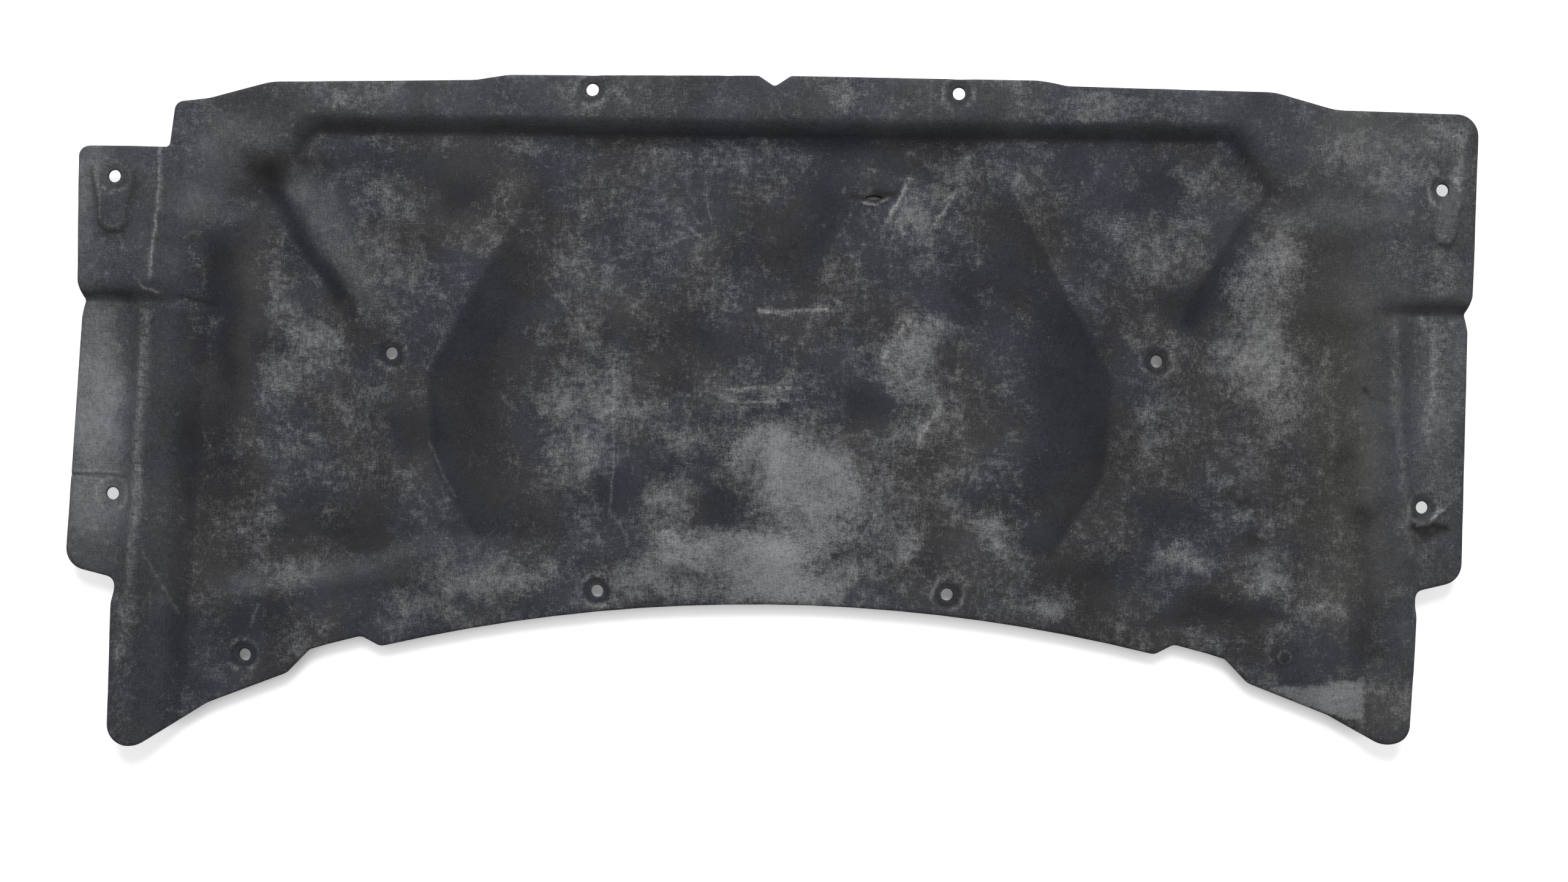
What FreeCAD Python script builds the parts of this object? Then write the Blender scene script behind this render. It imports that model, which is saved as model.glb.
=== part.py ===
"""Hood insulation pad: one sheet of felt pressed between two mould halves and die-cut to its outline.

The pad lies with its engine side up. X runs across the car, Y points to the front edge of the hood
and Z is up, with the origin on the surface that the pad rests on, below the middle of the pad.
Lengths are in millimetres.
"""
import FreeCAD, Part
import os
import re
import Sketcher

# Driving dimensions, each an alias of the sheet and its value
SIZES = {
    # Heights of the upper face over the resting surface, and the felt's thickness at each level
    "rail_height": 17.0,
    "flange_height": 30.0,
    "bay_felt": 8.0,
    "rail_felt": 6.0,
    "flange_felt": 4.0,
    "ledge_drop": 7.0,
    "boss_rise": 3.0,
    # The blank that is pressed, larger than the outline
    "blank_x": 700.0,
    "blank_y": 400.0,
    "blank_depth": 12.0,
    # Rim of the tray at flange height, and where its walls reach the bays
    "rim_front_x": 431.0,
    "rim_front_y": 270.5,
    "rim_neck_x": 482.0,
    "rim_neck_y": 210.0,
    "rim_side_x": 566.0,
    "rim_side_y": 203.0,
    "rim_rear_x": 590.0,
    "rim_rear_y": 420.0,
    "tray_front_x": 416.0,
    "tray_front_y": 248.5,
    "tray_neck_x": 462.0,
    "tray_neck_y": 186.0,
    "tray_side_x": 484.0,
    "tray_side_y": 178.0,
    "tray_rear_x": 524.0,
    # Rails between the bays: the crest on top and the foot on the bays
    "bay_rear_crest_x": 262.0,
    "bay_rear_crest_y": 131.0,
    "bay_rear_foot_x": 190.0,
    "bay_rear_foot_y": 112.0,
    "bay_waist_crest_x": 311.0,
    "bay_waist_crest_y": 52.0,
    "bay_waist_foot_x": 229.0,
    "bay_waist_foot_y": 52.0,
    "bay_side_crest_x": 318.0,
    "bay_side_crest_y": 34.0,
    "bay_side_foot_x": 240.0,
    "bay_side_foot_y": 26.0,
    "bay_front_crest_x": 214.0,
    "bay_front_crest_y": 225.0,
    "bay_front_foot_x": 168.0,
    "bay_front_foot_y": 205.0,
    "bay_top_crest_x": 208.0,
    "bay_top_foot_x": 176.0,
    "rail_top_y": 264.0,
    "arm_top_crest_x": 483.0,
    "arm_top_foot_x": 507.0,
    "arm_bend_crest_x": 385.0,
    "arm_bend_crest_y": 101.0,
    "arm_bend_foot_x": 405.0,
    "arm_bend_foot_y": 91.0,
    "arm_waist_crest_x": 364.0,
    "arm_waist_crest_y": 30.0,
    "arm_waist_foot_x": 384.0,
    "arm_waist_foot_y": 32.0,
    "strip_bend_crest_x": 415.0,
    "strip_bend_crest_y": 168.0,
    "strip_bend_foot_x": 424.0,
    "strip_bend_foot_y": 148.0,
    "strip_end_x": 640.0,
    "strip_end_crest_y": 176.0,
    "strip_end_foot_y": 157.0,
    "strip_rear_y": 380.0,
    # Side ledges below the creases
    "crease_y": 99.0,
    "crease_run": 9.0,
    "ledge_front_x": 588.0,
    "ledge_rear_x": 599.0,
    "ledge_rear_y": 170.0,
    "ledge_open_x": 720.0,
    "ledge_wall": 9.0,
    # Clip seats pressed in pairs across the pad
    "clip_radius": 5.7,
    "dish_radius": 14.0,
    "dish_depth": 2.0,
    "tab_clip_left_x": 604.3,
    "tab_clip_right_x": 616.1,
    "tab_clip_y": 212.3,
    "front_clip_left_x": 166.3,
    "front_clip_right_x": 171.3,
    "front_clip_y": 297.0,
    "side_clip_left_x": 607.1,
    "side_clip_right_x": 604.6,
    "side_clip_y": 79.6,
    "rail_clip_left_x": 352.2,
    "rail_clip_right_x": 359.2,
    "rail_clip_y": 53.2,
    "strip_clip_left_x": 158.7,
    "strip_clip_right_x": 166.4,
    "strip_clip_y": 165.6,
    "tip_clip_left_x": 485.6,
    "tip_clip_left_y": 228.4,
    "tip_clip_right_x": 480.1,
    "tip_clip_right_y": 220.0,
    # Keyhole bosses behind the tab clips
    "boss_head": 22.0,
    "boss_foot": 13.0,
    "boss_crown": 46.0,
    "boss_neck": 10.0,
    "boss_reach": 52.0,
    "boss_wall": 4.0,
    # Tears through the felt
    "front_tear_x": 95.0,
    "front_tear_y": 203.5,
    "front_tear_length": 17.0,
    "front_tear_width": 4.0,
    "side_tear_x": 611.0,
    "side_tear_y": -98.5,
    "side_tear_length": 24.0,
    "side_tear_width": 3.6,
    # Die-cut outline: front edge
    "notch_half": 14.8,
    "notch_x": 1.5,
    "notch_y": 301.4,
    "front_y": 311.2,
    "step_in_x": 245.0,
    "step_in_y": 309.5,
    "step_out_x": 273.0,
    "step_out_y": 304.5,
    "brow_x": 461.0,
    "brow_y": 301.0,
    "hollow_x": 518.0,
    "hollow_y": 285.2,
    "shoulder_x": 549.0,
    "shoulder_y": 281.5,
    "right_corner_x": 649.5,
    "right_corner_y": 282.0,
    # Die-cut outline: sides
    "tab_top_y": 240.0,
    "tab_root_x": 554.5,
    "tab_x": 637.8,
    "right_side_x": 645.4,
    "crease_dent": 4.6,
    "crease_slip": 1.4,
    "crease_reach": 16.0,
    "left_flank_x": 649.5,
    "left_flank_y": 146.0,
    "right_flank_x": 640.8,
    "right_flank_y": 147.0,
    "left_root_x": 604.0,
    "right_root_x": 598.0,
    "root_y": 157.5,
    # Die-cut outline: rear edge
    "left_tip_x": 607.0,
    "left_tip_y": 329.0,
    "right_tip_x": 590.5,
    "right_tip_y": 312.0,
    "haunch_x": 521.0,
    "haunch_y": 273.5,
    "nick_x": 447.0,
    "nick_y": 245.0,
    "nick_top_x": 426.0,
    "nick_top_y": 223.0,
    "hump_out_x": 408.0,
    "hump_out_y": 217.5,
    "hump_in_x": 377.0,
    "hump_in_y": 209.5,
    "arch_end_x": 359.0,
    "arch_end_y": 219.0,
    "arch_crown_y": 176.4,
    # Rounding of the outline's corners
    "sharp_round": 4.0,
    "small_round": 9.0,
    "large_round": 20.0,
    "sweep_round": 60.0,
}


def make_sheet(doc):
    """Puts the driving dimensions into a spreadsheet."""
    sheet = doc.addObject("Spreadsheet::Sheet", "Sizes")
    for row, (alias, value) in enumerate(SIZES.items(), 1):
        sheet.set(f"A{row}", alias)
        sheet.set(f"B{row}", str(value))
        sheet.setAlias(f"B{row}", alias)
    doc.recompute()
    return sheet


def named(expression):
    """Writes an expression of aliases as one that a document object can be bound to."""
    return re.sub(r"[a-z][a-z_]*", lambda word: "Sizes." + word.group(), expression)


def mirrored(half):
    """Closes a path on the right of the pad with its mirror image on the left."""
    return half + [("-" + x, y) for x, y in reversed(half)]


def points_of(sheet, corners, level):
    """Works out the corners of a plan at a level as vectors."""
    height = float(sheet.evalExpression(level))
    return [
        FreeCAD.Vector(float(sheet.evalExpression(x)), float(sheet.evalExpression(y)), height)
        for x, y in corners
    ]


def new_sketch(body, name, level):
    """Starts a sketch on the body's XY plane, raised to a level."""
    sketch = body.newObject("Sketcher::SketchObject", name)
    plane = next(item for item in body.Origin.OriginFeatures if item.Role == "XY_Plane")
    sketch.AttachmentSupport = [(plane, "")]
    sketch.MapMode = "FlatFace"
    sketch.setExpression("AttachmentOffset.Base.z", named(level))
    return sketch


def place_point(sketch, sheet, geometry, end, corner):
    """Fixes a point of a sketch at a corner given by two expressions."""
    for kind, expression in zip(("DistanceX", "DistanceY"), corner):
        value = float(sheet.evalExpression(expression))
        index = sketch.addConstraint(Sketcher.Constraint(kind, -1, 1, geometry, end, value))
        sketch.setExpression(f"Constraints[{index}]", named(expression))


def polygon(body, sheet, name, level, corners, crown=None):
    """Sketches a closed plan of straight lines, with an arc through the crown as its last side."""
    sketch = new_sketch(body, name, level)
    points = points_of(sheet, corners, "0")
    count = len(points)
    for index in range(count):
        start, end = points[index], points[(index + 1) % count]
        if crown and index == count - 1:
            top = points_of(sheet, [("0", crown)], "0")[0]
            sketch.addGeometry(Part.Arc(end, top, start))
        else:
            sketch.addGeometry(Part.LineSegment(start, end))
    lines = count - 1 if crown else count
    for index in range(lines - 1):
        sketch.addConstraint(Sketcher.Constraint("Coincident", index, 2, index + 1, 1))
    for index in range(lines):
        place_point(sketch, sheet, index, 1, corners[index])
    if crown:
        place_point(sketch, sheet, lines - 1, 2, corners[-1])
        sketch.addConstraint(Sketcher.Constraint("Coincident", lines - 1, 2, lines, 2))
        sketch.addConstraint(Sketcher.Constraint("Coincident", lines, 1, 0, 1))
        peak = sketch.addGeometry(Part.Point(top), True)
        index = sketch.addConstraint(Sketcher.Constraint("DistanceY", -1, 1, peak, 1, top.y))
        sketch.setExpression(f"Constraints[{index}]", named(crown))
        sketch.addConstraint(Sketcher.Constraint("PointOnObject", peak, 1, -2))
        sketch.addConstraint(Sketcher.Constraint("PointOnObject", peak, 1, lines))
    else:
        sketch.addConstraint(Sketcher.Constraint("Coincident", lines - 1, 2, 0, 1))
    return sketch


def loft(body, sheet, kind, name, upper, lower):
    """Adds or cuts a straight-walled form between two plans, each given as a level and corners."""
    sketches = [
        polygon(body, sheet, name + suffix, *plan)
        for suffix, plan in (("_upper", upper), ("_lower", lower))
    ]
    feature = body.newObject("PartDesign::" + kind + "Loft", name)
    feature.Profile = sketches[0]
    feature.Sections = [sketches[1]]
    feature.Ruled = True
    return feature


TRAY_RIM = mirrored([
    ("rim_front_x", "rim_front_y"),
    ("rim_neck_x", "rim_neck_y"),
    ("rim_side_x", "rim_side_y"),
    ("rim_rear_x", "-rim_rear_y"),
])
TRAY_FLOOR = mirrored([
    ("tray_front_x", "tray_front_y"),
    ("tray_neck_x", "tray_neck_y"),
    ("tray_side_x", "tray_side_y"),
    ("tray_rear_x", "-rim_rear_y"),
])
RAIL_CREST = mirrored([
    ("bay_rear_crest_x", "-bay_rear_crest_y"),
    ("bay_waist_crest_x", "-bay_waist_crest_y"),
    ("bay_side_crest_x", "bay_side_crest_y"),
    ("bay_front_crest_x", "bay_front_crest_y"),
    ("bay_top_crest_x", "rail_top_y"),
    ("arm_top_crest_x", "rail_top_y"),
    ("arm_bend_crest_x", "arm_bend_crest_y"),
    ("arm_waist_crest_x", "-arm_waist_crest_y"),
    ("strip_bend_crest_x", "-strip_bend_crest_y"),
    ("strip_end_x", "-strip_end_crest_y"),
    ("strip_end_x", "-strip_rear_y"),
])
RAIL_FOOT = mirrored([
    ("bay_rear_foot_x", "-bay_rear_foot_y"),
    ("bay_waist_foot_x", "-bay_waist_foot_y"),
    ("bay_side_foot_x", "bay_side_foot_y"),
    ("bay_front_foot_x", "bay_front_foot_y"),
    ("bay_top_foot_x", "rail_top_y"),
    ("arm_top_foot_x", "rail_top_y"),
    ("arm_bend_foot_x", "arm_bend_foot_y"),
    ("arm_waist_foot_x", "-arm_waist_foot_y"),
    ("strip_bend_foot_x", "-strip_bend_foot_y"),
    ("strip_end_x", "-strip_end_foot_y"),
    ("strip_end_x", "-strip_rear_y"),
])


def ledge(inset, rise):
    """Plans a side ledge on the right, with its walls moved inwards and up from its floor."""
    front = f"crease_y + {rise}"
    rear = f"-ledge_rear_y - {rise}"
    return [
        ("ledge_open_x", front),
        (f"ledge_front_x - {inset}", front),
        (f"ledge_rear_x - {inset}", rear),
        ("ledge_open_x", rear),
    ]


def keyhole(clip_x, spread):
    """Plans the boss that runs back from a tab clip, with its walls spread from its top."""
    ahead = f"tab_clip_y + boss_crown + {spread}"
    neck = "tab_clip_y - boss_neck"
    behind = f"tab_clip_y - boss_reach - {spread}"
    return [
        (f"{clip_x} + boss_head + {spread}", ahead),
        (f"{clip_x} + boss_head + {spread}", neck),
        (f"{clip_x} + boss_foot + {spread}", behind),
        (f"{clip_x} - boss_foot - {spread}", behind),
        (f"{clip_x} - boss_head - {spread}", neck),
        (f"{clip_x} - boss_head - {spread}", ahead),
    ]


def press_half(doc, sheet, name, bay, rail, flange, depth):
    """Builds the solid below one face of the pressed felt, as far down as a depth."""
    body = doc.addObject("PartDesign::Body", name)
    blank = mirrored([("blank_x", "blank_y"), ("blank_x", "-blank_y")])
    pad = body.newObject("PartDesign::Pad", name + "_blank")
    pad.Profile = polygon(body, sheet, name + "_blank_plan", f"-({depth})", blank)
    pad.setExpression("Length", named(flange + " + " + depth))
    loft(body, sheet, "Subtractive", name + "_tray", (flange, TRAY_RIM), (bay, TRAY_FLOOR))
    loft(body, sheet, "Additive", name + "_rails", (rail, RAIL_CREST), (bay, RAIL_FOOT))
    mouth, floor = ledge("ledge_wall", "crease_run"), ledge("0", "0")
    for side, turn in (("right", ""), ("left", "-")):
        plans = [[(f"{turn}({x})", y) for x, y in plan] for plan in (mouth, floor)]
        drop = flange + " - ledge_drop"
        loft(body, sheet, "Subtractive", f"{name}_{side}_ledge", (flange, plans[0]), (drop, plans[1]))
        clip = f"{turn}tab_clip_{side}_x"
        top = (flange + " + boss_rise", keyhole(clip, "0"))
        foot = (flange, keyhole(clip, "boss_wall"))
        loft(body, sheet, "Additive", f"{name}_{side}_boss", top, foot)
    doc.recompute()
    return body


def outline():
    """Lists the die-cut outline's corners clockwise from the right end of the rear arch."""
    crease_front = "crease_y + crease_reach"
    crease_rear = "crease_y - crease_reach"
    rear = [
        ("arch_end_x", "-arch_end_y", "small_round"),
        ("hump_in_x", "-hump_in_y", "small_round"),
        ("hump_out_x", "-hump_out_y", "sweep_round"),
        ("nick_top_x", "-nick_top_y", "small_round"),
        ("nick_x", "-nick_y", "small_round"),
        ("haunch_x", "-haunch_y", "sweep_round"),
    ]
    right = [
        ("right_tip_x", "-right_tip_y", "large_round"),
        ("right_root_x", "-root_y", "small_round"),
        ("right_flank_x", "-right_flank_y", "large_round"),
        ("right_side_x - crease_slip", crease_rear, "small_round"),
        ("right_side_x - crease_dent", "crease_y", "small_round"),
        ("right_side_x", crease_front, "small_round"),
        ("right_corner_x", "right_corner_y", "large_round"),
        ("hollow_x", "hollow_y", "sweep_round"),
    ]
    front = [
        ("brow_x", "brow_y", "sweep_round"),
        ("step_out_x", "step_out_y", "sweep_round"),
        ("step_in_x", "step_in_y", "sweep_round"),
    ]
    notch = [
        ("notch_x + notch_half", "front_y", "sharp_round"),
        ("notch_x", "notch_y", "sharp_round"),
        ("notch_x - notch_half", "front_y", "sharp_round"),
    ]
    left = [
        ("-hollow_x", "hollow_y", "sweep_round"),
        ("-shoulder_x", "shoulder_y", "small_round"),
        ("-tab_root_x", "tab_top_y", "sharp_round"),
        ("-tab_x", "tab_top_y", "small_round"),
        ("-tab_x", crease_front, "small_round"),
        ("-(tab_x - crease_dent)", "crease_y", "small_round"),
        ("-(tab_x - crease_slip)", crease_rear, "small_round"),
        ("-left_flank_x", "-left_flank_y", "large_round"),
        ("-left_root_x", "-root_y", "small_round"),
        ("-left_tip_x", "-left_tip_y", "large_round"),
    ]
    mirror = [("-" + x, y, bend) for x, y, bend in reversed(front)]
    mirror_rear = [("-" + x, y, bend) for x, y, bend in reversed(rear)]
    return rear + right + front + notch + mirror + left + mirror_rear


def cutting_die(doc, sheet):
    """Builds the prism of the outline, with its corners rounded."""
    body = doc.addObject("PartDesign::Body", "outline")
    corners = outline()
    plan = [(x, y) for x, y, bend in corners]
    pad = body.newObject("PartDesign::Pad", "outline_prism")
    pad.Profile = polygon(
        body, sheet, "outline_plan", "-blank_depth", plan, "-arch_crown_y"
    )
    pad.setExpression("Length", named("flange_height + boss_rise + blank_depth + blank_depth"))
    doc.recompute()
    for bend in ("sharp_round", "small_round", "large_round", "sweep_round"):
        places = points_of(sheet, [(x, y) for x, y, name in corners if name == bend], "0")
        base = body.Tip
        feature = body.newObject("PartDesign::Fillet", "outline_" + bend)
        feature.Base = (base, upright_edges(base.Shape, places))
        feature.setExpression("Radius", named(bend))
        doc.recompute()
    return body


def upright_edges(shape, places):
    """Names the upright edges of a prism that stand at the given places in plan."""
    near = 0.01
    names = []
    for number, edge in enumerate(shape.Edges, 1):
        first, last = edge.Vertexes[0].Point, edge.Vertexes[-1].Point
        upright = abs(first.x - last.x) + abs(first.y - last.y) < near
        plan = FreeCAD.Vector(first.x, first.y, 0)
        if upright and any(plan.distanceToPoint(place) < near for place in places):
            names.append(f"Edge{number}")
    return names


def clip_seats(body, sheet, name, level, centres):
    """Punches clip holes with a shallow dish round each, from a level of the upper face down."""
    sketch = new_sketch(body, name + "_centres", level)
    axis = FreeCAD.Vector(0, 0, 1)
    for number, place in enumerate(points_of(sheet, centres, "0")):
        sketch.addGeometry(Part.Circle(place, axis, SIZES["clip_radius"]))
        place_point(sketch, sheet, number, 3, centres[number])
        radius = Sketcher.Constraint("Radius", number, SIZES["clip_radius"])
        index = sketch.addConstraint(radius)
        sketch.setExpression(f"Constraints[{index}]", named("clip_radius"))
    body.Document.recompute()
    hole = body.newObject("PartDesign::Hole", name)
    hole.Profile = sketch
    hole.DepthType = "ThroughAll"
    hole.HoleCutType = "Counterbore"
    hole.HoleCutCustomValues = True
    hole.setExpression("Diameter", named("clip_radius + clip_radius"))
    hole.setExpression("HoleCutDiameter", named("dish_radius + dish_radius"))
    hole.setExpression("HoleCutDepth", named("dish_depth"))
    body.Document.recompute()


def blind_seat(body, sheet, centre):
    """Presses the dish of a clip seat whose slug was never punched out."""
    sketch = new_sketch(body, "blind_seat_plan", "rail_height")
    place = points_of(sheet, [centre], "0")[0]
    for number, alias in enumerate(("dish_radius", "clip_radius")):
        sketch.addGeometry(Part.Circle(place, FreeCAD.Vector(0, 0, 1), SIZES[alias]))
        place_point(sketch, sheet, number, 3, centre)
        index = sketch.addConstraint(Sketcher.Constraint("Radius", number, SIZES[alias]))
        sketch.setExpression(f"Constraints[{index}]", named(alias))
    pocket = body.newObject("PartDesign::Pocket", "blind_seat")
    pocket.Profile = sketch
    pocket.setExpression("Length", named("dish_depth"))
    body.Document.recompute()


def tear(body, sheet, name):
    """Cuts a tear through the felt, a slit between two arcs."""
    left = (f"{name}_x - {name}_length / 2", f"{name}_y")
    right = (f"{name}_x + {name}_length / 2", f"{name}_y")
    lips = [
        (f"{name}_x", f"{name}_y + {name}_width / 2"),
        (f"{name}_x", f"{name}_y - {name}_width / 2"),
    ]
    sketch = new_sketch(body, name + "_plan", "flange_height + boss_rise")
    start, end = points_of(sheet, [right, left], "0")
    for lip in points_of(sheet, lips, "0"):
        sketch.addGeometry(Part.Arc(start, lip, end))
        start, end = end, start
    place_point(sketch, sheet, 0, 1, right)
    place_point(sketch, sheet, 0, 2, left)
    sketch.addConstraint(Sketcher.Constraint("Coincident", 0, 2, 1, 1))
    sketch.addConstraint(Sketcher.Constraint("Coincident", 1, 2, 0, 1))
    for number, lip in enumerate(points_of(sheet, lips, "0")):
        peak = sketch.addGeometry(Part.Point(lip), True)
        place_point(sketch, sheet, peak, 1, lips[number])
        sketch.addConstraint(Sketcher.Constraint("PointOnObject", peak, 1, number))
    pocket = body.newObject("PartDesign::Pocket", name)
    pocket.Profile = sketch
    pocket.Type = "ThroughAll"
    body.Document.recompute()


def pair(name, turn=""):
    """Gives the centres of a left and a right clip that share one line across the pad."""
    across = f"{turn}{name}_clip_y"
    return [(f"-{name}_clip_left_x", across), (f"{name}_clip_right_x", across)]


def build():
    """Builds the pad and returns its document and its finished body."""
    doc = FreeCAD.newDocument("hood_insulation_pad")
    sheet = make_sheet(doc)
    upper = press_half(
        doc, sheet, "engine_side", "bay_felt", "rail_height", "flange_height", "blank_depth"
    )
    lower = press_half(
        doc, sheet, "hood_side", "0", "rail_height - rail_felt",
        "flange_height - flange_felt", "blank_depth + blank_depth",
    )
    sheet_felt = doc.addObject("Part::Cut", "pressed_felt")
    sheet_felt.Base = upper
    sheet_felt.Tool = lower
    cut_felt = doc.addObject("Part::Common", "cut_felt")
    cut_felt.Base = sheet_felt
    cut_felt.Tool = cutting_die(doc, sheet)
    doc.recompute()
    body = doc.addObject("PartDesign::Body", "insulation_pad")
    body.Label = "insulation_pad"
    body.BaseFeature = cut_felt
    doc.recompute()
    clip_seats(body, sheet, "tab_clips", "flange_height + boss_rise", pair("tab"))
    clip_seats(body, sheet, "front_clips", "flange_height", pair("front"))
    clip_seats(body, sheet, "side_clips", "flange_height - ledge_drop", pair("side", "-"))
    tip_clip = [("-tip_clip_left_x", "-tip_clip_left_y")]
    rail_clips = pair("rail") + pair("strip", "-") + tip_clip
    clip_seats(body, sheet, "rail_clips", "rail_height", rail_clips)
    blind_seat(body, sheet, ("tip_clip_right_x", "-tip_clip_right_y"))
    tear(body, sheet, "front_tear")
    tear(body, sheet, "side_tear")
    return doc, body


doc, pad = build()
for item in doc.Objects:
    if "Invalid" in item.State or "Error" in item.State:
        raise RuntimeError(item.Name + " failed")
if pad.Shape.isNull() or not pad.Shape.isValid():
    raise RuntimeError("the pad's shape is not valid")
os.makedirs("parts", exist_ok=True)
pad.Shape.exportStep("parts/insulation_pad.step")
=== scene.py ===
"""A moulded felt hood pad, lying engine side up on a pale floor, with its scrim, dust, stains and wear."""

import logging
import math
from collections.abc import Callable
from dataclasses import dataclass, field
from enum import Enum
from typing import NamedTuple, Optional, Union

import bmesh
import bpy
import numpy as np
from bmesh.types import BMesh, BMFace, BMVert
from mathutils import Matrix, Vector, noise
from mathutils.bvhtree import BVHTree

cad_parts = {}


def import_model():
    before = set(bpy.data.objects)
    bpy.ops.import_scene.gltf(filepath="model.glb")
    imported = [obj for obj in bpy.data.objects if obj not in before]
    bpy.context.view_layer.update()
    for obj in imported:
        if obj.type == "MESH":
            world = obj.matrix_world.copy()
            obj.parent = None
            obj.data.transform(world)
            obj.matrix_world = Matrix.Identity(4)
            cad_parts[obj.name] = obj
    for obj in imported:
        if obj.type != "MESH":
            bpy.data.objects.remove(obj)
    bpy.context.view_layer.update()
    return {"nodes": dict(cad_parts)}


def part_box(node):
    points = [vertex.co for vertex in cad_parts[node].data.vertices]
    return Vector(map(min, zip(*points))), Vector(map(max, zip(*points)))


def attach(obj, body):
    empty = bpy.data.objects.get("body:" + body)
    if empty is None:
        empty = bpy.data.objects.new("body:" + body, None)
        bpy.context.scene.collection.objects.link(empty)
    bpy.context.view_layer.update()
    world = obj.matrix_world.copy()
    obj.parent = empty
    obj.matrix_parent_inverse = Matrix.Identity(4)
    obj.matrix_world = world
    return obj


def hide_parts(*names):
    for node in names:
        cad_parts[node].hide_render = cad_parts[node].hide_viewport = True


LOG = logging.getLogger("hood_pad")

MM = 0.001
TINY = 1e-9
JOIN_WITHIN = 0.01 * MM
FLAT_WITHIN = 0.001 * MM
OVAL_FALLOFF = 1.3
GRAIN_ROUGHNESS = 0.6
PAD_NODE = "insulation_pad"

DOWN = Vector((0.0, 0.0, -1.0))
UP = Vector((0.0, 0.0, 1.0))

Point = tuple[float, float]
Line = tuple[Point, ...]
Scale = tuple[float, float, float]
Colour = tuple[float, float, float]
Paint = tuple[float, float, float, float]
Socket = bpy.types.NodeSocket
HeightAt = Callable[[float, float], Optional[float]]


class Mark(Enum):
    """What shows on the scrim: the attribute that holds it and the channel it takes there. The darker marks
    also carry painted shade, the lighter ones painted highlights and painted light.
    """

    DUST = ("soil", 0)
    CLEAN = ("soil", 1)
    BROWN = ("soil", 2)
    RUBBED = ("wear", 0)
    OIL = ("wear", 1)
    SCUFF = ("wear", 2)


class Patch(NamedTuple):
    """A soft-edged oval on the pad, in millimetres of plan and degrees."""

    x: float
    y: float
    across: float
    along: float
    strength: float
    turn: float = 0.0

    def spread(self, plan: np.ndarray) -> np.ndarray:
        """Gives how strong the patch is at each point.

        Args:
            plan: Points in millimetres, one row each.

        Returns:
            One strength per point.
        """
        angle = math.radians(self.turn)
        dx, dy = plan[:, 0] - self.x, plan[:, 1] - self.y
        u = (dx * math.cos(angle) + dy * math.sin(angle)) / self.across
        v = (dy * math.cos(angle) - dx * math.sin(angle)) / self.along
        return self.strength * np.exp(-((u * u + v * v) ** OVAL_FALLOFF))


class Stroke(NamedTuple):
    """A line folded or pressed into the pad, or a rub mark, painted shade line or painted highlight on it,
    in millimetres of plan.
    """

    points: Line
    half_width: float
    amount: float

    def spread(self, plan: np.ndarray) -> np.ndarray:
        """Gives how strong the line is at each point.

        Args:
            plan: Points in millimetres, one row each.

        Returns:
            One amount per point.
        """
        away = distance_to(self.points, plan)
        return self.amount * np.exp(-((away / self.half_width) ** 2))


class Field(NamedTuple):
    """A patch with straight, fairly crisp sides: its corners run anticlockwise, in millimetres of plan."""

    corners: Line
    strength: float
    fade: float = 3.0

    def spread(self, plan: np.ndarray) -> np.ndarray:
        """Gives how strong the field is at each point.

        Args:
            plan: Points in millimetres, one row each.

        Returns:
            One strength per point.
        """
        depth = np.full(len(plan), np.inf)
        for start, end in zip(self.corners, self.corners[1:] + self.corners[:1]):
            run = np.array(end) - np.array(start)
            inward = np.array((-run[1], run[0])) / np.linalg.norm(run)
            depth = np.minimum(depth, (plan - np.array(start)) @ inward)
        return self.strength * np.clip(depth / self.fade + 0.5, 0.0, 1.0)


def distance_to(points: Line, plan: np.ndarray) -> np.ndarray:
    """Measures how far each point lies from a line of straight runs.

    Args:
        points: The line's corners, in millimetres.
        plan: Points in millimetres, one row each.

    Returns:
        One distance per point, in millimetres.
    """
    away = np.full(len(plan), np.inf)
    for start, end in zip(points[:-1], points[1:]):
        a, run = np.array(start), np.array(end) - np.array(start)
        t = np.clip(((plan - a) @ run) / max(run @ run, TINY), 0.0, 1.0)
        away = np.minimum(away, np.linalg.norm(plan - a - t[:, None] * run, axis=1))
    return away
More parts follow.
